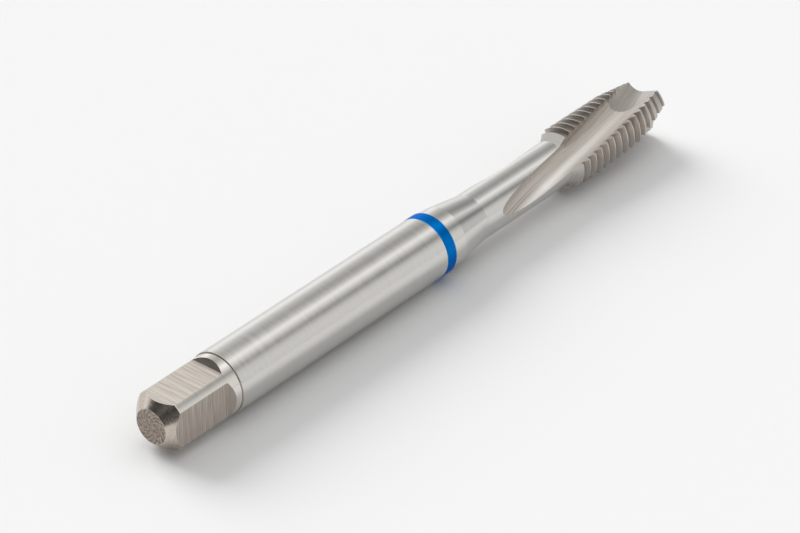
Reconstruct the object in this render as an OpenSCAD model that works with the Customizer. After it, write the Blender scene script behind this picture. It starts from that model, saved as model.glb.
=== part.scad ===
// Machine tap for M8 x 1.25 with a reinforced shank: one ground bar of high speed steel
// with a drive square, a lacquered colour ring, a reduced neck, a full helical thread,
// three slanting flutes and a spiral point. It lies on its side, axis along X.

/* [Blank] */
// Overall length from the square end to the tip, mm
overall_l = 90; // [87:0.5:93]
// Shank diameter, mm
shank_d = 8; // [7.96:0.01:8.04]
// Diameter of the turned length that carries the square, mm
square_zone_d = 7.69; // [7.5:0.01:7.8]
// Length of that turned length, mm
square_zone_l = 11; // [10.4:0.1:13]
// End of the full shank diameter, from the square end, mm
shank_end_x = 48.5; // [46:0.1:50]
// Relief behind the shank end, on the diameter, mm
shank_relief = 0.24; // [0.1:0.02:0.4]
// Length of the relieved land before the taper, mm
relief_l = 2.1; // [1:0.1:3]
// Neck diameter, mm
neck_d = 6.27; // [5.9:0.01:6.4]
// Start of the neck, from the square end, mm
neck_x = 55.5; // [54:0.1:57]

/* [Drive square] */
// Width across the flats, mm
square_af = 6.15; // [6.05:0.01:6.25]
// Length of the flats, mm
square_l = 9.35; // [8:0.05:9.6]
// Length of the ramp where each flat runs out, mm
runout_l = 0.62; // [0.4:0.02:0.8]
// Diameter of the plain end face, mm
end_face_d = 4.5; // [4:0.1:5.5]
// Length of the end chamfer, mm
end_chamfer_l = 1.6; // [1:0.1:2]

/* [Colour ring] */
// Length of the lacquered ring on the end of the shank, mm
ring_l = 1.66; // [1:0.02:4]
// Thickness of the lacquer, mm
lacquer_t = 0.03; // [0.02:0.01:0.05]

/* [Thread] */
// Crest diameter of the thread, mm
thread_d = 8.08; // [8.02:0.01:8.12]
// Pitch, mm
pitch = 1.25; // [1:0.05:1.25]
// Root diameter of the thread, mm
root_d = 6.44; // [6.4:0.01:6.6]
// Width of the flat at the root, mm
root_flat = 0.16; // [0.1:0.01:0.24]
// Start of the threaded head, where it rises from the neck, mm
thread_x = 71.45; // [71:0.05:72]
// Length of the plain collar in front of the first thread groove, mm
collar_l = 1.4; // [1.2:0.05:2]
// Angle of the rise at the start of the head, degrees
rise_a = 30; // [27:1:45]
// Length of the chamfered lead at the tip, mm
lead_l = 6.2; // [5:0.1:7]
// Diameter at the tip, mm
tip_d = 6.7; // [6.5:0.05:6.9]

/* [Flutes] */
// Radius of the flute section, mm
flute_r = 1.81; // [1.7:0.01:1.9]
// Opening of the flute's straight heel flank against its depth, degrees
heel_a = 8.8; // [5:0.2:14]
// Distance from the axis to the flute's centre line, mm
flute_c = 3.49; // [3.4:0.01:3.6]
// Slant of the flutes to the axis, left handed, degrees
flute_slant = 8.5; // [7:0.1:10]
// Place along the axis where each flute is closest to it, mm
flute_mid_x = 70.6; // [69.5:0.1:72]
// Turn of the flutes about the axis, degrees
flute_turn = 234.6; // [225:0.2:245]
// Length of the flute's full depth behind its closest place, mm
flute_full_l = 3.7; // [3:0.1:4.5]
// Radius of the wheel path that lifts out of each flute, mm
flute_lift_r = 33; // [28:0.5:38]

/* [Cutting faces] */
// Radius where each cutting face runs into its flute, mm
face_r = 1.2; // [1.1:0.05:1.3]
// Opening of the straight cutting face against its depth, degrees
face_a = 41.4; // [38:0.2:45]
// Slant of the cutting faces to the axis, left handed, degrees
face_slant = 11.3; // [10.5:0.1:12]
// Distance from the axis to the centre line of that radius, mm
face_c = 3.02; // [2.98:0.01:3.06]
// Turn of the cutting faces about the axis, back from the turn of their flutes, degrees
face_lag = 4.4; // [3.6:0.1:5.4]

/* [Spiral point] */
// Radius of the point's ground hollow, mm
point_r = 1.84; // [1.75:0.01:1.9]
// Opening of the hollow's straight heel flank against its depth, degrees
point_heel_a = 75.7; // [72:0.1:80]
// Slant of the hollow to the axis, left handed, degrees
point_slant = 21; // [19:0.1:23]
// Distance from the axis to the hollow's centre line, mm
point_c = 3.54; // [3.48:0.01:3.65]
// Distance from the tip back to where each hollow is closest to the axis, mm
point_back = 1; // [0.5:0.1:1.5]
// Turn of each hollow about the axis, degrees
point_turn = 169.7; // [167:0.1:173]

/* [Hidden] */
shank_r = shank_d / 2;
zone_r = square_zone_d / 2;
neck_r = neck_d / 2;
root_r = root_d / 2;
thread_r = thread_d / 2;
lands = 3;
land_step = 360 / lands;
// The broken edge where the shank starts, the ground edge where it ends and its taper
edge_break = 0.03;
edge_l = 0.1;
relief_taper = 0.055;
relief_r = shank_r - shank_relief / 2;
rise_l = (thread_r - neck_r) / tan(rise_a);
taper_x = shank_end_x + relief_l;
lead_x = overall_l - lead_l;
// How far a cut stands clear of the surface that it opens, and a thread groove above its crest
clear = 1;
groove_over = 0.4;
// How far inside a hollow's round bottom its straight flank starts, so that the two cross cleanly
flank_in = 0.001;
// The helix angle of the thread, taken half way down the tooth
helix_a = atan(pitch / (PI * (thread_r + root_r)));
// Half the angle of the metric thread form, and the groove's width above the crest
flank_a = 30;
groove_top_r = thread_r + groove_over;
groove_top = root_flat + 2 * (groove_top_r - root_r) * tan(flank_a);
// The thread is reckoned from this place at angle zero
groove_x0 = 71.2;
groove_first_x = thread_x + collar_l;
groove_n = ceil((overall_l - groove_x0) / pitch) + 1;
// Turn of one groove run: past both edges of a land, well into the flutes beside it
groove_sweep = 92;
// How far back each cutting face is ground, to where it clears the neck inside its flute
face_back_l = 5;
// Turn of the wheel's path out of the flute, and the facets of a round bar and a wheel's cut
lift_a = 22;
bar_fn = 128;
wheel_fn = 72;
lay_z = max(thread_r, shank_r + lacquer_t);

function flute_angle(x) = flute_turn - atan((x - flute_mid_x) * tan(flute_slant) / flute_c);
function land_angle(x, k) = flute_angle(x) + land_step * (k + 0.5);
// Where groove i crosses the middle of land k, worked out in two steps
function groove_at(i, k, x) = groove_x0 + pitch * (i + land_angle(x, k) / 360);
function groove_x(i, k) = groove_at(i, k, groove_at(i, k, groove_x0 + pitch * i));

// Lays an upright shape down along X, the square end towards -X
module lay() {
    translate([-overall_l / 2, 0, lay_z]) rotate([0, 90, 0]) children();
}

// The turned and ground blank, upright
module blank() {
    rotate_extrude($fn = bar_fn)
        polygon([
            [0, 0],
            [end_face_d / 2, 0],
            [zone_r, end_chamfer_l],
            [zone_r, square_zone_l],
            [shank_r - edge_break, square_zone_l],
            [shank_r, square_zone_l + edge_break],
            [shank_r, shank_end_x],
            [relief_r, shank_end_x + edge_l],
            [relief_r - relief_taper, taper_x],
            [neck_r, neck_x],
            [neck_r, thread_x],
            [thread_r, thread_x + rise_l],
            [thread_r, lead_x],
            [tip_d / 2, overall_l],
            [0, overall_l]
        ]);
}

// One ground flat of the square with its steep run out, upright, facing along +X
module flat_cut() {
    flat_r = square_af / 2;
    half = zone_r + clear;
    runout_slope = runout_l / (zone_r - flat_r);
    translate([0, half, 0]) rotate([90, 0, 0]) linear_extrude(height = 2 * half)
        polygon([
            [flat_r, -clear],
            [half, -clear],
            [half, square_l + runout_slope * (half - flat_r)],
            [flat_r, square_l]
        ]);
}

// One run of the thread groove over a single land, upright
module groove(i, k) {
    x = groove_x(i, k);
    translate([0, 0, x]) rotate([0, 0, land_angle(x, k)]) rotate([helix_a, 0, 0])
        rotate_extrude(angle = groove_sweep, start = -groove_sweep / 2, $fn = bar_fn)
            polygon([
                [root_r, -root_flat / 2],
                [groove_top_r, -groove_top / 2],
                [groove_top_r, groove_top / 2],
                [root_r, root_flat / 2]
            ]);
}

// A ground hollow's section, its depth towards -X: a round bottom of radius r that runs out
// into a straight flank on the heel side, +Y, opening at angle a
module hollow_section(r, a) {
    flank_l = r + clear;
    foot = (r - flank_in) * [-sin(a), cos(a)];
    circle(r = r, $fn = wheel_fn);
    polygon([
        [0, 0],
        [flank_l, 0],
        foot + flank_l * [cos(a), sin(a)],
        foot
    ]);
}

// One flute: a straight slanting hollow that lifts out along the wheel's path
module flute() {
    tip_l = (overall_l - flute_mid_x) / cos(flute_slant) + 3 * clear;
    translate([0, 0, flute_mid_x]) rotate([0, 0, flute_turn]) translate([flute_c, 0, 0])
        rotate([flute_slant, 0, 0]) translate([0, 0, -flute_full_l])
            union() {
                linear_extrude(height = flute_full_l + tip_l) hollow_section(flute_r, heel_a);
                translate([flute_lift_r, 0, 0]) rotate([90, 0, 0])
                    rotate_extrude(angle = lift_a, start = 180, $fn = 180)
                        translate([flute_lift_r, 0]) rotate(180) hollow_section(flute_r, heel_a);
            }
}

// One cutting face, ground along the far side of its flute and slanting a little more
module face_cut() {
    front_l = (overall_l - flute_mid_x) / cos(face_slant) + 3 * clear;
    translate([0, 0, flute_mid_x]) rotate([0, 0, flute_turn - face_lag])
        translate([face_c, 0, 0]) rotate([face_slant, 0, 0]) translate([0, 0, -face_back_l])
            linear_extrude(height = face_back_l + front_l)
                mirror([0, 1]) hollow_section(face_r, face_a);
}

// One hollow of the spiral point, ground across the mouth of its flute
module point_cut() {
    back_l = 9;
    front_l = point_back / cos(point_slant) + 2 * clear;
    translate([0, 0, overall_l - point_back]) rotate([0, 0, point_turn])
        translate([point_c, 0, 0]) rotate([point_slant, 0, 0]) translate([0, 0, -back_l])
            linear_extrude(height = back_l + front_l) hollow_section(point_r, point_heel_a);
}

module tap_body() {
    color([0.72, 0.70, 0.67]) lay() difference() {
        blank();
        for (a = [0 : 90 : 270]) rotate([0, 0, a]) flat_cut();
        for (k = [0 : lands - 1]) for (i = [0 : groove_n])
            if (groove_x(i, k) > groove_first_x) groove(i, k);
        for (k = [0 : lands - 1]) rotate([0, 0, land_step * k]) {
            flute();
            face_cut();
            point_cut();
        }
    }
}

// The blue lacquer ring, a thin band on the end of the shank
module colour_ring() {
    color([0.02, 0.33, 0.72]) lay() translate([0, 0, shank_end_x - ring_l])
        rotate_extrude($fn = bar_fn) translate([shank_r, 0]) square([lacquer_t, ring_l]);
}

tap_body();
colour_ring();
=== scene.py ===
import math

import bmesh
import bpy
import numpy as np
from mathutils import Euler, Matrix, Vector


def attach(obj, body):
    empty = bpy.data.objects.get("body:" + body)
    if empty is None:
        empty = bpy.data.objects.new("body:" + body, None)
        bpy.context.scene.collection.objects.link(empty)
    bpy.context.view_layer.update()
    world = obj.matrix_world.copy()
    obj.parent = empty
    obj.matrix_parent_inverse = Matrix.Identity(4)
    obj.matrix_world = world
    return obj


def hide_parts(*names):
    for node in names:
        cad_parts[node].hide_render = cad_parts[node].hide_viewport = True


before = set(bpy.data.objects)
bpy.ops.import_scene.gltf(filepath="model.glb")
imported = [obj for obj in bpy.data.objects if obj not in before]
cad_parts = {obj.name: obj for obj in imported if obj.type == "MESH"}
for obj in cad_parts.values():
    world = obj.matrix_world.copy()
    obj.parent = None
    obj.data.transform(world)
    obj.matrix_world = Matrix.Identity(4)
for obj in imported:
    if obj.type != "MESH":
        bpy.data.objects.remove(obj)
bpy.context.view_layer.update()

# The tap is one bar of high speed steel, turned, hardened and ground all over: a plain shank, a
# thinner length for the drive square, a reduced neck and the head that takes the thread. It is
# built upright in millimetres, square end at zero, and laid down along X at the end.
# Radii come first, then places along the bar. The zone is the thinner length for the square.
tap_length = 90.0
axis_height = 4.04
end_face_r = 2.25
zone_r = 3.845
shank_r = 4.0
relief_r = 3.88
taper_r = 3.825
neck_r = 3.135
thread_r = 4.04
tip_r = 3.35
chamfer_end = 1.6
zone_end = 11.0
shank_end = 48.5
shank_edge_l = 0.12
taper_start = 50.6
neck_start = 55.5
head_start = 71.45
rise_end = 73.0
lead_start = 83.8
# Each corner is its place, its radius, its rounding and the finish of the length that follows.
outline = [
    (0.0, 0.0, 0.0, "end"),
    (0.0, end_face_r, 0.07, "chamfer"),
    (chamfer_end, zone_r, 0.12, "zone"),
    (zone_end, zone_r, 0.0, "step"),
    (zone_end, shank_r, 0.04, "shank"),
    (shank_end, shank_r, 0.02, "shank"),
    (shank_end + shank_edge_l, relief_r, 0.03, "relief"),
    (taper_start, taper_r, 0.25, "neck"),
    (neck_start, neck_r, 1.2, "neck"),
    (head_start, neck_r, 0.12, "rise"),
    (rise_end, thread_r, 0.03, "crest"),
    (lead_start, thread_r, 0.0, "lead"),
    (tap_length, tip_r, 0.02, "tip"),
    (tap_length, 0.0, 0.0, None),
]
around = 192
degrees_a_facet = 12
surfaces = []
looks = {}


# Every turned or ground surface has a number, by which its faces find their finish and shape.
def surface(look, kind, **facts):
    surfaces.append({"look": look, "kind": kind, **facts})
    return len(surfaces) - 1


def solid(name, mesh_data):
    mesh = bpy.data.meshes.new(name)
    bmesh.ops.recalc_face_normals(mesh_data, faces=mesh_data.faces[:])
    mesh_data.to_mesh(mesh)
    mesh_data.free()
    thing = bpy.data.objects.new(name, mesh)
    bpy.context.scene.collection.objects.link(thing)
    return thing


# Joins each row of points to the next, all the way round, and closes both ends of a cutter.
def skin(mesh_data, rows, number_of, capped=True):
    for i, (low, high) in enumerate(zip(rows, rows[1:])):
        for k in range(len(low)):
            j = (k + 1) % len(low)
            corners = dict.fromkeys([low[k], low[j], high[j], high[k]])
            mesh_data.faces.new(list(corners)).material_index = number_of(i, k)
    if capped:
        mesh_data.faces.new(rows[0][::-1])
        mesh_data.faces.new(rows[-1])


def hoop(mesh_data, x, r):
    if r == 0:
        return [mesh_data.verts.new((0, 0, x))] * around
    angles = [2 * math.pi * k / around for k in range(around)]
    return [mesh_data.verts.new((r * math.cos(a), r * math.sin(a), x)) for a in angles]


# The outline with its corners rounded, and the surface that each step along it belongs to
profile, profile_ids = [], []
for i, (x, r, rounding, look) in enumerate(outline):
    here = Vector((x, r))
    if rounding:
        back = (Vector(outline[i - 1][:2]) - here).normalized()
        toward = (Vector(outline[i + 1][:2]) - here).normalized()
        half = back.angle(toward) / 2
        centre = here + (back + toward).normalized() * rounding / math.sin(half)
        start = here + back * (rounding / math.tan(half))
        end = here + toward * (rounding / math.tan(half))
        round_id = surface(look, "round", centre=tuple(centre))
        steps = max(2, math.ceil(math.degrees(math.pi - 2 * half) / degrees_a_facet))
        profile.append(start)
        for k in range(1, steps + 1):
            spoke = (start - centre).lerp(end - centre, k / steps).normalized() * rounding
            profile.append(centre + spoke)
            profile_ids.append(round_id)
    else:
        profile.append(here)
    if look:
        step = Vector(outline[i + 1][:2]) - here
        profile_ids.append(surface(look, "cone", normal=(-step.y, step.x)))
blank_mesh = bmesh.new()
hoops = [hoop(blank_mesh, x, r) for x, r in profile]
skin(blank_mesh, hoops, lambda i, k: profile_ids[i], capped=False)
blank = solid("blank", blank_mesh)


# In a finish, a node's input takes a plain value or what another node gives out.
def feed(tree, socket, value):
    if isinstance(value, bpy.types.NodeSocket):
        tree.links.new(value, socket)
    else:
        socket.default_value = value


def calc(tree, operation, first, second=0.0):
    node = tree.nodes.new("ShaderNodeMath")
    node.operation = operation
    feed(tree, node.inputs[0], first)
    feed(tree, node.inputs[1], second)
    return node.outputs[0]


def mix_colours(tree, share, first, second, blend_type="MIX"):
    mix = tree.nodes.new("ShaderNodeMix")
    mix.data_type = "RGBA"
    mix.blend_type = blend_type
    feed(tree, mix.inputs["Factor"], share)
    feed(tree, mix.inputs["A"], first)
    feed(tree, mix.inputs["B"], second)
    return mix.outputs["Result"]


def rescale(tree, value, low, high, new_low=0.0, new_high=1.0):
    node = tree.nodes.new("ShaderNodeMapRange")
    node.inputs["From Min"].default_value = low
    node.inputs["From Max"].default_value = high
    node.inputs["To Min"].default_value = new_low
    node.inputs["To Max"].default_value = new_high
    tree.links.new(value, node.inputs["Value"])
    return node.outputs["Result"]


def attribute(tree, name, output):
    node = tree.nodes.new("ShaderNodeAttribute")
    node.attribute_name = name
    return node.outputs[output]


def stretched_noise(tree, place, scale, detail):
    squeeze = tree.nodes.new("ShaderNodeMapping")
    squeeze.inputs["Scale"].default_value = scale
    noise = tree.nodes.new("ShaderNodeTexNoise")
    noise.inputs["Scale"].default_value = 1.0
    noise.inputs["Detail"].default_value = detail
    tree.links.new(place, squeeze.inputs["Vector"])
    tree.links.new(squeeze.outputs["Vector"], noise.inputs["Vector"])
    return noise.outputs["Fac"]


def raise_marks(tree, marks, depth):
    bump = tree.nodes.new("ShaderNodeBump")
    bump.inputs["Strength"].default_value = 1.0
    bump.inputs["Distance"].default_value = depth
    tree.links.new(marks, bump.inputs["Height"])
    tree.links.new(bump.outputs["Normal"], tree.nodes["Principled BSDF"].inputs["Normal"])


# Ground steel has fine and coarse marks along the wheel's path. They vary its roughness, and its colour by
# tint, and stand up by depth, in metres. The dark marks lean to brown, and the sheen attribute gives the
# share by which the steel is painted paler, a painted highlight.
marks_low, marks_high = 0.6, 1.4
smoother, rougher = 0.8, 1.25
tint_low, tint_high = 0.7, 1.3
brown = (0.85, 1, 1.15)
# The pale colour of the painted highlight on the flutes' heel sides
painted_sheen_colour = (0.88, 0.865, 0.835, 1)


def ground_steel(name, colour, roughness, fine, coarse, depth, tint, stretch=0.0):
    steel = bpy.data.materials.new(name)
    steel.use_nodes = True
    tree = steel.node_tree
    shader = tree.nodes["Principled BSDF"]
    shader.inputs["Metallic"].default_value = 1.0
    shader.inputs["Anisotropic"].default_value = stretch
    place = attribute(tree, "marks", "Vector")
    fine_marks = stretched_noise(tree, place, fine, detail=3)
    coarse_marks = stretched_noise(tree, place, coarse, detail=2)
    marks = calc(tree, "ADD", fine_marks, coarse_marks)
    dull = rescale(tree, marks, marks_low, marks_high, roughness * smoother, roughness * rougher)
    tree.links.new(dull, shader.inputs["Roughness"])
    dark = (*[c * (1 - tint * lean) for c, lean in zip(colour, brown)], 1)
    pale = (*[min(1, c * (1 + tint)) for c in colour], 1)
    shade = mix_colours(tree, rescale(tree, marks, tint_low, tint_high), dark, pale)
    # Painted highlight: the sheen share mixes the steel towards a pale colour
    shade = mix_colours(tree, attribute(tree, "painted_sheen", "Fac"), shade, painted_sheen_colour)
    tree.links.new(shade, shader.inputs["Base Color"])
    tree.links.new(attribute(tree, "across", "Vector"), shader.inputs["Tangent"])
    raise_marks(tree, marks, depth)
    return steel


looks["shank"] = ground_steel(
    "shank_steel", (0.64, 0.625, 0.6), roughness=0.17,
    fine=(28, 1.5, 1.5), coarse=(5, 0.15, 0.15), depth=6e-7, tint=0.04,
)
looks["zone"] = ground_steel(
    "turned_steel", (0.7, 0.675, 0.63), roughness=0.12,
    fine=(20, 0.4, 0.4), coarse=(4, 0.2, 0.2), depth=3e-7, tint=0.03,
)
looks["step"] = ground_steel(
    "step_steel", (0.6, 0.54, 0.48), roughness=0.6,
    fine=(20, 0.4, 0.4), coarse=(4, 0.2, 0.2), depth=3e-7, tint=0.05,
)
looks["chamfer"] = ground_steel(
    "chamfer_steel", (0.55, 0.495, 0.44), roughness=0.22,
    fine=(14, 3, 3), coarse=(5, 2, 2), depth=3e-7, tint=0.14,
)
looks["relief"] = ground_steel(
    "relief_steel", (0.66, 0.65, 0.62), roughness=0.16,
    fine=(28, 0.4, 0.4), coarse=(5, 0.15, 0.15), depth=3e-7, tint=0.02,
)
looks["neck"] = ground_steel(
    "neck_steel", (0.64, 0.625, 0.6), roughness=0.16,
    fine=(28, 0.4, 0.4), coarse=(5, 0.15, 0.15), depth=4e-7, tint=0.02,
)
looks["rise"] = ground_steel(
    "rise_steel", (0.52, 0.5, 0.47), roughness=0.28, stretch=0.6,
    fine=(20, 0.4, 0.4), coarse=(5, 0.15, 0.15), depth=1e-6, tint=0.05,
)
looks["crest"] = ground_steel(
    "crest_steel", (0.56, 0.54, 0.51), roughness=0.28, stretch=0.5,
    fine=(20, 0.4, 0.4), coarse=(4, 0.2, 0.2), depth=8e-7, tint=0.05,
)
looks["lead"] = ground_steel(
    "lead_steel", (0.5, 0.48, 0.45), roughness=0.35, stretch=0.4,
    fine=(14, 0.5, 0.5), coarse=(4, 0.2, 0.2), depth=1e-6, tint=0.05,
)
looks["tip"] = ground_steel(
    "tip_steel", (0.5, 0.48, 0.45), roughness=0.35, stretch=0.2,
    fine=(6, 6, 6), coarse=(2, 2, 2), depth=1e-6, tint=0.05,
)

# The square end's face is faced off with a cup wheel while the bar turns, which leaves dark
# curved marks like a fan. Each mark is a spiral arm about the axis, broken up by a coarse grain.
arm_count = 17.0
arm_twist = 9500.0
arm_break = 6.5
arm_depth = 0.26
grain_scale = 2600.0
grain_depth = 2.4
burnt_steel = (0.16, 0.125, 0.105, 1)
bright_steel = (0.42, 0.36, 0.31, 1)
fan = bpy.data.materials.new("end_steel")
fan.use_nodes = True
tree = fan.node_tree
shader = tree.nodes["Principled BSDF"]
shader.inputs["Metallic"].default_value = 1.0
shader.inputs["Roughness"].default_value = 0.4
place = tree.nodes.new("ShaderNodeTexCoord").outputs["Object"]
parts = tree.nodes.new("ShaderNodeSeparateXYZ")
tree.links.new(place, parts.inputs["Vector"])
noise = tree.nodes.new("ShaderNodeTexNoise")
noise.inputs["Scale"].default_value = grain_scale
noise.inputs["Detail"].default_value = 3
tree.links.new(place, noise.inputs["Vector"])
side = parts.outputs["Y"]
high = calc(tree, "SUBTRACT", parts.outputs["Z"], axis_height / 1000)
square_sum = calc(tree, "ADD", calc(tree, "MULTIPLY", high, high), calc(tree, "MULTIPLY", side, side))
away = calc(tree, "SQRT", square_sum)
bearing = calc(tree, "ARCTAN2", side, high)
twist = calc(tree, "MULTIPLY", away, arm_twist)
arm = calc(tree, "ADD", calc(tree, "MULTIPLY", bearing, arm_count), twist)
broken_arm = calc(tree, "ADD", arm, calc(tree, "MULTIPLY", noise.outputs["Fac"], arm_break))
ripple = calc(tree, "MULTIPLY", calc(tree, "SINE", broken_arm), arm_depth)
grain = calc(tree, "MULTIPLY", calc(tree, "SUBTRACT", noise.outputs["Fac"], 0.5), grain_depth)
mark = calc(tree, "ADD", calc(tree, "ADD", ripple, grain), 0.5)
shade = mix_colours(tree, mark, burnt_steel, bright_steel)
tree.links.new(shade, shader.inputs["Base Color"])
raise_marks(tree, mark, depth=4e-6)
looks["end"] = fan

# The drive square takes the wrench: four flats ground straight across the hard bar, 6.15 mm
# apart. The wheel's rounded edge leaves a short bend where each flat ends, then a steep run out.
flat_half = 3.075
bend_r = 0.35
bend_start = 9.183
bend_turn = math.radians(51.2)
bend_steps = 6
runout_x, runout_r = 10.176, 4.1
outside_r = 5.2
outside_x = -1.0
half_width = 5
bend = [bend_turn * k / bend_steps for k in range(bend_steps + 1)]
section = [(outside_x, flat_half)]
section += [(bend_start + bend_r * math.sin(a), flat_half + bend_r - bend_r * math.cos(a)) for a in bend]
section += [(runout_x, runout_r), (runout_x, outside_r), (outside_x, outside_r)]
# The flat at the front is painted darker than the other three, as painted shade
flat_ids = [surface(look, "plane") for look in ("flat", "flat", "flat", "shaded_flat")]
runout_id = surface("runout", "plane")
cutters = []
for turn, flat_id in enumerate(flat_ids):
    flat_mesh = bmesh.new()
    sides = [[flat_mesh.verts.new((r, y, x)) for x, r in section] for y in (-half_width, half_width)]
    skin(flat_mesh, sides, lambda i, k: runout_id if k else flat_id)
    flat_mesh.transform(Matrix.Rotation(turn * math.pi / 2, 4, "Z"))
    cutters.append(solid("flat_cut", flat_mesh))
looks["flat"] = ground_steel(
    "flat_steel", (0.66, 0.62, 0.57), roughness=0.36,
    fine=(26, 0.35, 0.35), coarse=(9, 0.2, 0.2), depth=2e-6, tint=0.3,
)
# Painted shade: a darker copy of the flat steel for the front flat
looks["shaded_flat"] = ground_steel(
    "shaded_flat_steel", (0.5, 0.455, 0.41), roughness=0.36,
    fine=(26, 0.35, 0.35), coarse=(9, 0.2, 0.2), depth=2e-6, tint=0.35,
)
looks["runout"] = ground_steel(
    "runout_steel", (0.46, 0.405, 0.365), roughness=0.33, stretch=0.4,
    fine=(18, 0.3, 0.3), coarse=(4, 0.2, 0.2), depth=1.5e-6, tint=0.1,
)

# The three flutes, their cutting faces and the three hollows of the spiral point are ground
# with round-nosed wheels: a round bottom that runs out into a straight flank. Each wheel passes
# straight along the bar at a slant, and the flute wheel then lifts out along an arc at the neck.
arc_steps = 80
lift_steps = 44
clear = 1.0


# A wheel's path takes a point of its section, u and v, to its place at the length t along the
# path. Undone, it finds them again for any point, with the angle by which the path has turned.
class Straight:
    def __init__(self, start, end):
        self.stations = [start, end]

    def __call__(self, u, v, t):
        return Vector((u, v, t))

    def undo(self, p):
        return p[:, 0], p[:, 1], p[:, 2], np.zeros(len(p))


class LiftOut:
    def __init__(self, full, lift_r, lift_angle, end):
        self.full, self.lift_r = full, lift_r
        turns = [lift_angle * (lift_steps - k) / lift_steps for k in range(lift_steps)]
        self.stations = [-full - turn * lift_r for turn in turns] + [-full, end]

    def __call__(self, u, v, t):
        if t >= -self.full:
            return Vector((u, v, t))
        a = (-self.full - t) / self.lift_r
        rest = self.lift_r - u
        return Vector((self.lift_r - rest * math.cos(a), v, -self.full - rest * math.sin(a)))

    def undo(self, p):
        a = np.arctan2(-self.full - p[:, 2], self.lift_r - p[:, 0])
        curved = p[:, 2] < -self.full
        u = np.where(curved, self.lift_r - np.hypot(self.lift_r - p[:, 0], p[:, 2] + self.full), p[:, 0])
        t = np.where(curved, -self.full - a * self.lift_r, p[:, 2])
        return u, p[:, 1], t, np.where(curved, a, 0)


# Sets a wheel's section at x, turned about the axis, its centre line off the axis, and slanted.
def wheel_place(x, turn, centre, slant):
    spin = Matrix.Rotation(math.radians(turn), 4, "Z")
    place = Matrix.Translation((0, 0, x)) @ spin @ Matrix.Translation((centre, 0, 0))
    return place @ Matrix.Rotation(math.radians(slant), 4, "X")


# A cutter's section has its depth towards -u: a round bottom of radius r and a straight flank.
def hollow(look, r, side, opening, path, place):
    reach = r + clear
    sweep = 3 * math.pi / 2 - opening
    arc = [math.pi / 2 + opening + sweep * k / arc_steps for k in range(arc_steps + 1)]
    section = [(r * math.cos(a), side * r * math.sin(a)) for a in arc]
    top = Vector(section[0]) + Vector((math.cos(opening), side * math.sin(opening))) * reach
    section += [(reach, 0), tuple(top)]
    round_id = surface(look, "hollow", r=r, path=path, place=place)
    flank_id = surface(look + "_flank", "flank", slope=side * opening, path=path, place=place)
    cut = bmesh.new()
    stations = [[cut.verts.new(place @ path(u, v, t)) for u, v in section] for t in path.stations]
    skin(cut, stations, lambda i, k: flank_id if k == len(section) - 1 else round_id)
    return solid(look, cut)


land_turns = (0, 120, 240)
flute_x, point_x = 70.6, 89
heel_side, cutting_side = 1, -1
for turn in land_turns:
    place = wheel_place(flute_x, turn=234.6 + turn, centre=3.49, slant=8.5)
    path = LiftOut(full=3.7, lift_r=33.0, lift_angle=math.radians(22), end=23.0)
    cutters.append(hollow("flute", 1.81, heel_side, math.radians(8.8), path, place))
for turn in land_turns:
    place = wheel_place(flute_x, turn=230.2 + turn, centre=3.02, slant=11.3)
    path = Straight(start=-5.0, end=23.0)
    cutters.append(hollow("face", 1.2, cutting_side, math.radians(41.4), path, place))
for turn in land_turns:
    place = wheel_place(point_x, turn=169.7 + turn, centre=3.54, slant=21)
    path = Straight(start=-9.0, end=3.2)
    cutters.append(hollow("point", 1.84, heel_side, math.radians(75.7), path, place))
flute_marks = {"fine": (34, 0.12, 1), "coarse": (12, 0.05, 1), "depth": 1.5e-6, "stretch": 0.5}
looks["flute"] = ground_steel(
    "flute_steel", (0.55, 0.52, 0.48), roughness=0.4, tint=0.3, **flute_marks,
)
looks["flute_flank"] = ground_steel(
    "heel_steel", (0.6, 0.57, 0.53), roughness=0.4, tint=0.25, **flute_marks,
)
# Painted shade: the cutting face and its bottom are given darker steel than the flute, for the shade on
# that side
looks["face"] = ground_steel(
    "shaded_face_bottom_steel", (0.44, 0.41, 0.375), roughness=0.42, tint=0.3, **flute_marks,
)
looks["face_flank"] = ground_steel(
    "shaded_face_steel", (0.39, 0.35, 0.315), roughness=0.4, tint=0.3, **flute_marks,
)
point_marks = {"fine": (12, 0.3, 1), "coarse": (4, 0.15, 1), "depth": 1e-6, "stretch": 0.2, "tint": 0.12}
looks["point"] = ground_steel("point_steel", (0.47, 0.435, 0.405), roughness=0.46, **point_marks)
looks["point_flank"] = ground_steel("point_flank_steel", (0.55, 0.52, 0.49), roughness=0.42, **point_marks)

# The thread, M8 x 1.25, is one helical groove with 30 degree flanks, ground right through the
# lands from the head's plain collar to the tip. The wheel's worn edge rounds its root.
pitch = 1.25
flank = math.tan(math.radians(30))
groove_zero_x = 71.2
# Degrees along the helix, from the collar to well past the tip
groove_start = 475.3125
groove_end = 5620.0
groove_top_r = 4.14
root_r = 3.22
root_half = 0.08
worn_edge = [(3.262, -0.104), (3.23, -0.066)]
groove_top = root_half + (groove_top_r - root_r) * flank
one_side = [(groove_top_r, -groove_top)] + worn_edge
groove = one_side + [(root_r, 0.0)] + [(r, -dx) for r, dx in one_side[::-1]]
low_id = surface("thread", "helix", slope=flank)
high_id = surface("thread", "helix", slope=-flank)
root_id = surface("root", "root")
groove_faces = [low_id] + [root_id] * 4 + [high_id, root_id]
groove_mesh = bmesh.new()
rows = []
for s in range(math.ceil((groove_end - groove_start) / 360 * around) + 1):
    degrees = groove_start + s * 360 / around
    a = math.radians(degrees)
    x = groove_zero_x + pitch * degrees / 360
    rows.append([groove_mesh.verts.new((r * math.cos(a), r * math.sin(a), x + dx)) for r, dx in groove])
skin(groove_mesh, rows, lambda i, k: groove_faces[k])
cutters.append(solid("groove", groove_mesh))
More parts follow.
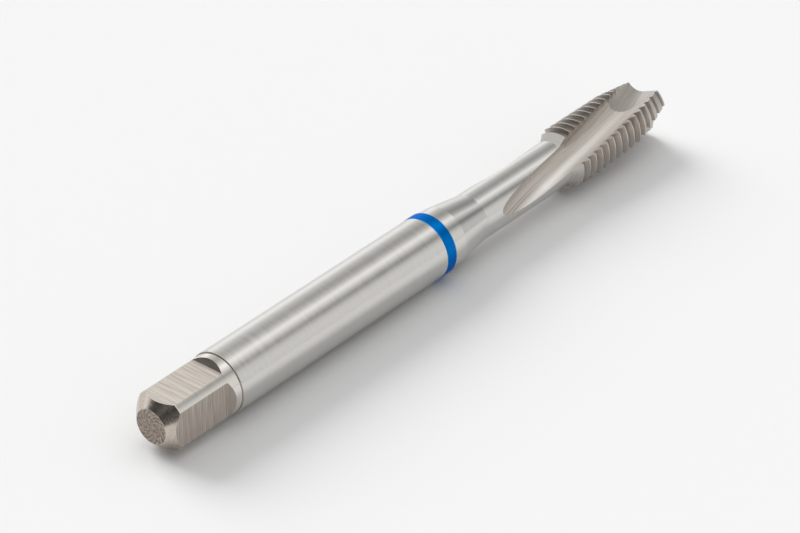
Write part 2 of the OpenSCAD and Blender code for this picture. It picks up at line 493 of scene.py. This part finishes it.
thread_marks = {"fine": (14, 0.3, 1), "coarse": (5, 0.2, 1), "depth": 1.5e-6, "stretch": 0.4, "tint": 0.1}
looks["thread"] = ground_steel("thread_steel", (0.5, 0.455, 0.415), roughness=0.33, **thread_marks)
# Painted shade: the groove's root is given a darker steel than its flanks, for the shade deep in the groove
looks["root"] = ground_steel("shaded_root_steel", (0.36, 0.31, 0.275), roughness=0.4, **thread_marks)

# The tap comes out of the blank as it does in the shop, one cut after another. Until the looks
# go on, a marker material on each face keeps the number of the surface that cut it.
markers = [bpy.data.materials.new(f"surface_{i}") for i in range(len(surfaces))]
for thing in [blank] + cutters:
    for marker in markers:
        thing.data.materials.append(marker)
for cutter in cutters:
    cut = blank.modifiers.new("cut", "BOOLEAN")
    cut.operation = "DIFFERENCE"
    cut.solver = "EXACT"
    cut.material_mode = "INDEX"
    cut.object = cutter
    depsgraph = bpy.context.evaluated_depsgraph_get()
    shaped = bpy.data.meshes.new_from_object(blank.evaluated_get(depsgraph))
    blank.modifiers.clear()
    blank.data = shaped
    bpy.data.objects.remove(cutter)
final = bmesh.new()
final.from_mesh(blank.data)
bmesh.ops.triangulate(final, faces=final.faces[:])
final.to_mesh(blank.data)
final.free()
tap = blank
tap.name = "tap"
mesh = tap.data

# Each corner of the mesh keeps the true normal of the surface that it was ground to. It also
# keeps its place among the grinding marks, across the wheel's path and along it, with a number
# that sets the marks of each surface apart, and the way across them.
groove_turn_l = 22.0
slant_stretch = 1.15
thread_seed, hollow_seed = 3.0, 5.0
tiny = 1e-6
# The heel side of each flute is painted paler, a painted highlight, most of all towards the neck
heel_start, heel_l = 0.2, 0.9
sheen_most = 0.75
sheen_end, sheen_fade = 9, 6
# A sliver that lies too far off its surface's true normal keeps its own
least_match = 0.6


def read(items, name, width, kind=float):
    values = np.empty(len(items) * width, kind)
    items.foreach_get(name, values)
    return values.reshape(-1, width) if width > 1 else values


# The thread's marks run along its helix, so they are laid out by its turns.
def thread_facts(facts, p, out, n):
    spin = np.stack([-out[:, 1], out[:, 0], np.zeros(len(p))], 1)
    radius = np.hypot(p[:, 0], p[:, 1])
    along = spin + np.outer(pitch / (2 * math.pi * radius), [0, 0, 1])
    if facts["kind"] == "helix":
        side = out - np.outer(np.full(len(p), facts["slope"]), [0, 0, 1])
        n = np.cross(along, side)
    else:
        side = np.cross(along, n)
    turn = np.degrees(np.arctan2(p[:, 1], p[:, 0])) % 360
    centre = groove_zero_x + pitch * turn / 360
    turns = np.round((p[:, 2] - centre) / pitch)
    off_centre = (p[:, 2] - centre - turns * pitch) * slant_stretch
    travel = (turn / 360 + turns) * groove_turn_l
    return n, side, np.stack([off_centre, travel, np.full(len(p), thread_seed)], 1)


# The marks of a flute, a cutting face or a point run along the path of the wheel that cut it.
def hollow_facts(facts, p, seed):
    inverse = np.array(facts["place"].inverted())
    u, v, t, lift = facts["path"].undo(p @ inverse[:3, :3].T + inverse[:3, 3])
    if facts["kind"] == "hollow":
        section = np.stack([-u, -v], 1)
        arc = np.unwrap(np.arctan2(v, -u)) * facts["r"]
        tangent = np.stack([-v, u], 1)
    else:
        slope = facts["slope"]
        section = np.tile([math.sin(slope), -math.cos(slope)], (len(p), 1))
        arc = u
        tangent = np.tile([math.cos(slope), math.sin(slope)], (len(p), 1))
    bent = np.stack([np.cos(lift), np.zeros(len(p)), np.sin(lift)], 1)
    turn = np.array(facts["place"])[:3, :3]
    n = (section[:, :1] * bent + np.outer(section[:, 1], [0, 1, 0])) @ turn.T
    side = (tangent[:, :1] * bent + np.outer(tangent[:, 1], [0, 1, 0])) @ turn.T
    return n, side, np.stack([arc, t, np.full(len(p), seed)], 1)


places = read(mesh.vertices, "co", 3)
face_ids = read(mesh.polygons, "material_index", 1, int)
points = places[read(mesh.loops, "vertex_index", 1, int)]
ids = np.repeat(face_ids, 3)
flat_normals = np.repeat(read(mesh.polygons, "normal", 3), 3, axis=0)
normals = flat_normals.copy()
marks = points[:, [2, 0, 1]]
across = np.tile([0.0, 0.0, 1.0], (len(points), 1))
painted_sheen = np.zeros(len(points))
radius = np.hypot(points[:, 0], points[:, 1])[:, None]
outward = np.where(radius > tiny, points * [1, 1, 0] / np.maximum(radius, tiny), 0)
for number, facts in enumerate(surfaces):
    own = ids == number
    if not own.any():
        continue
    p, out, n = points[own], outward[own], flat_normals[own]
    kind = facts["kind"]
    if kind == "cone":
        nx, nr = facts["normal"]
        n = out * nr + [0, 0, nx]
    elif kind == "round":
        cx, cr = facts["centre"]
        n = out * (radius[own] - cr) + np.outer(p[:, 2] - cx, [0, 0, 1])
    elif kind in ("helix", "root"):
        n, across[own], marks[own] = thread_facts(facts, p, out, n)
    elif kind in ("hollow", "flank"):
        n, across[own], marks[own] = hollow_facts(facts, p, hollow_seed + number)
        # Painted highlight on the heel side of each flute, fading away from the neck
        if facts["look"].startswith("flute"):
            arc, t = marks[own][:, 0], marks[own][:, 1]
            heel = np.clip((arc - heel_start) / heel_l, 0, 1) if kind == "hollow" else 1.0
            painted_sheen[own] = sheen_most * heel * np.clip((sheen_end - t) / sheen_fade, 0, 1)
    n = n / np.maximum(np.linalg.norm(n, axis=1), tiny)[:, None]
    match = (n * flat_normals[own]).sum(1)[:, None]
    n = np.where(match < 0, -n, n)
    normals[own] = np.where(np.abs(match) < least_match, flat_normals[own], n)

# The finished tap lies on its side as it comes to rest, the square end towards -X. Its steel
# takes the finish of the wheel or the tool that made each surface.
lay = np.array([[0, 0, 1], [0, 1, 0], [-1, 0, 0]], float)
laid = (places @ lay.T + [-tap_length / 2, 0, axis_height]) / 1000
mesh.vertices.foreach_set("co", laid.ravel())
mesh.update()
mesh.attributes.new("marks", "FLOAT_VECTOR", "CORNER").data.foreach_set("vector", marks.ravel())
mesh.attributes.new("across", "FLOAT_VECTOR", "CORNER").data.foreach_set("vector", (across @ lay.T).ravel())
mesh.attributes.new("painted_sheen", "FLOAT", "CORNER").data.foreach_set("value", painted_sheen)
mesh.shade_smooth()
mesh.normals_split_custom_set([tuple(n) for n in normals @ lay.T])
mesh.materials.clear()
for steel in looks.values():
    mesh.materials.append(steel)
look_of = np.array([list(looks).index(facts["look"]) for facts in surfaces])
mesh.polygons.foreach_set("material_index", look_of[face_ids].astype(np.int32))
mesh.update()
for marker in markers:
    bpy.data.materials.remove(marker)
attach(tap, "root")
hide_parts("tap_body")

# The blue ring is a thin coat of lacquer on the end of the shank, a colour code for the
# user. It is brushed on while the tool turns, so it has round edges and no joint.
ring_start, ring_end = 46.84, 48.47
ring_around = 256
under_r = 3.9
brushed_edge = [(0.0, 3.99), (0.03, 4.016), (0.09, 4.027), (0.2, 4.03)]
deep_blue = (0.0, 0.15, 0.5, 1)
clear_blue = (0.0, 0.17, 0.55, 1)
rim_blue = (0.0, 0.35, 0.9, 1)
lacquer = [(ring_start + back, r) for back, r in brushed_edge]
lacquer += [(ring_end - back, r) for back, r in brushed_edge[::-1]]
ring_mesh = bmesh.new()
angles = [2 * math.pi * k / ring_around for k in range(ring_around)]
hoops = []
for x, r in lacquer + [(ring_end, under_r), (ring_start, under_r)]:
    spots = [(r * math.sin(a) / 1000, (axis_height + r * math.cos(a)) / 1000) for a in angles]
    hoops.append([ring_mesh.verts.new(((x - tap_length / 2) / 1000, y, z)) for y, z in spots])
skin(ring_mesh, hoops + hoops[:1], lambda i, k: 0, capped=False)
ring = solid("ring", ring_mesh)
for face in ring.data.polygons:
    face.use_smooth = True
paint = bpy.data.materials.new("blue_lacquer")
paint.use_nodes = True
tree = paint.node_tree
shader = tree.nodes["Principled BSDF"]
shader.inputs["Metallic"].default_value = 0.68
shader.inputs["Roughness"].default_value = 0.2
shader.inputs["Specular IOR Level"].default_value = 0.05
shader.inputs["Specular Tint"].default_value = rim_blue
place = tree.nodes.new("ShaderNodeTexCoord").outputs["Object"]
brush_marks = stretched_noise(tree, place, scale=(6000, 250, 250), detail=3)
shade = mix_colours(tree, brush_marks, deep_blue, clear_blue)
tree.links.new(shade, shader.inputs["Base Color"])
raise_marks(tree, brush_marks, depth=2e-6)
ring.data.materials.append(paint)
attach(ring, "root")
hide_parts("colour_ring")

# The floor is a plain table top, painted a flat pale grey that the studio and its lamp light up
# to nearly white. It has no gloss, so that only the tap's soft shadow lies on it.
floor_half = 3
pale_grey = (0.76, 0.76, 0.76, 1)
floor_mesh = bmesh.new()
bmesh.ops.create_grid(floor_mesh, x_segments=1, y_segments=1, size=floor_half)
floor = solid("floor", floor_mesh)
table = bpy.data.materials.new("table")
table.use_nodes = True
shader = table.node_tree.nodes["Principled BSDF"]
shader.inputs["Base Color"].default_value = pale_grey
shader.inputs["Roughness"].default_value = 1.0
shader.inputs["Specular IOR Level"].default_value = 0.0
floor.data.materials.append(table)

# The studio: soft white surroundings with a softbox overhead that runs along the tap, darker
# gaps on both sides of it and a pale wall behind. A second, wider softbox stands where mostly
# the flutes see it, and the light falls off towards the far ends of the room.
world = bpy.data.worlds.new("studio")
bpy.context.scene.world = world
world.use_nodes = True
tree = world.node_tree
direction = tree.nodes.new("ShaderNodeTexCoord").outputs["Generated"]
parts = tree.nodes.new("ShaderNodeSeparateXYZ")
tree.links.new(direction, parts.inputs["Vector"])
bearing = calc(tree, "ARCTAN2", calc(tree, "MULTIPLY", parts.outputs["Y"], -1.0), parts.outputs["Z"])
# Each stop is a turn about the tap's axis, 0 overhead and 90 level in front, and the light there
softbox = [
    (-180, 1.0), (-95, 1.2), (-75, 1.2), (-67, 1.08), (-59, 0.81), (-51, 0.71), (-43, 0.59),
    (-35, 0.48), (-27, 0.43), (-19, 0.5), (-11, 0.67), (-4, 0.88), (4, 1.24), (10, 1.17),
    (21, 0.8), (29, 0.51), (37, 0.3), (45, 0.52), (53, 0.78), (61, 0.9), (69, 0.92),
    (77, 0.92), (90, 0.86), (180, 0.86),
]
wide_softbox = [(-180, 1.0), (-60, 0.8), (-40, 0.95), (-20, 1.2), (35, 1.2), (60, 0.5), (180, 0.5)]
# Each stop is the X of a direction, and the share of the wide softbox or of the light there
wide_share = [(-1, 0), (-0.25, 0), (-0.15, 1), (0.52, 1), (0.585, 0), (1, 0)]
along_room = [
    (-1, 0.15), (-0.5, 0.15), (-0.41, 1.05), (0, 1.1), (0.45, 1.15), (0.631, 1.0), (0.83, 0.78),
    (1, 0.65),
]
# A ramp's colour stops at 1, so its light is divided by this, and the strength makes up for it
most_light = 2


def light_ramp(tree, value, stops, most):
    low, high = stops[0][0], stops[-1][0]
    ramp = tree.nodes.new("ShaderNodeValToRGB")
    elements = ramp.color_ramp.elements
    elements[0].position, elements[1].position = 0.0, 1.0
    elements[0].color = (stops[0][1] / most,) * 3 + (1,)
    elements[1].color = (stops[-1][1] / most,) * 3 + (1,)
    for stop, light in stops[1:-1]:
        elements.new((stop - low) / (high - low)).color = (light / most,) * 3 + (1,)
    tree.links.new(rescale(tree, value, low, high), ramp.inputs["Fac"])
    return ramp.outputs["Color"]


degrees = calc(tree, "DEGREES", bearing)
overhead = light_ramp(tree, degrees, softbox, most_light)
wide = light_ramp(tree, degrees, wide_softbox, most_light)
share = light_ramp(tree, parts.outputs["X"], wide_share, most=1)
sky = mix_colours(tree, share, overhead, wide)
fall_off = light_ramp(tree, parts.outputs["X"], along_room, most_light)
room = mix_colours(tree, 1.0, sky, fall_off, "MULTIPLY")
background = tree.nodes["Background"]
background.inputs["Strength"].default_value = most_light * most_light
tree.links.new(room, background.inputs["Color"])

# One big, soft lamp stands behind the tap and above it, and throws its shadow forward. It lights
# the floor and the lacquer, but the steel reflects only the studio, so it shows no hot spot.
lamp = bpy.data.lights.new("lamp", "SUN")
lamp.angle = math.radians(36)
lamp.energy = 2.6
lamp_place = bpy.data.objects.new("lamp", lamp)
bpy.context.scene.collection.objects.link(lamp_place)
lamp_place.location = (0.1, 0.8, 0.5)
lamp_place.rotation_euler = (-lamp_place.location).to_track_quat("-Z", "Y").to_euler()
lamp_place.visible_glossy = False

# The camera looks down at the tap from beyond its square end, half a metre away, with a long
# lens. Its place, turn and focal length come from the tap's own edges in the photograph.
camera_place = Vector((-0.3076358, -0.2653235, 0.2693635))
camera_turn = [math.radians(turn) for turn in (56.69523, 0.79669, -49.54911)]
picture_width = 800
focal_length_px = 4097.14
half_pixel = 0.5
lens = bpy.data.cameras.new("camera")
lens.sensor_width = 36.0
lens.lens = focal_length_px / picture_width * lens.sensor_width
lens.shift_x = -half_pixel / picture_width
lens.shift_y = half_pixel / picture_width
lens.clip_start, lens.clip_end = 0.01, 20
camera = bpy.data.objects.new("camera", lens)
bpy.context.scene.collection.objects.link(camera)
camera.matrix_world = Matrix.LocRotScale(camera_place, Euler(camera_turn), None)
bpy.context.scene.camera = camera
bpy.context.scene.view_settings.view_transform = "Standard"
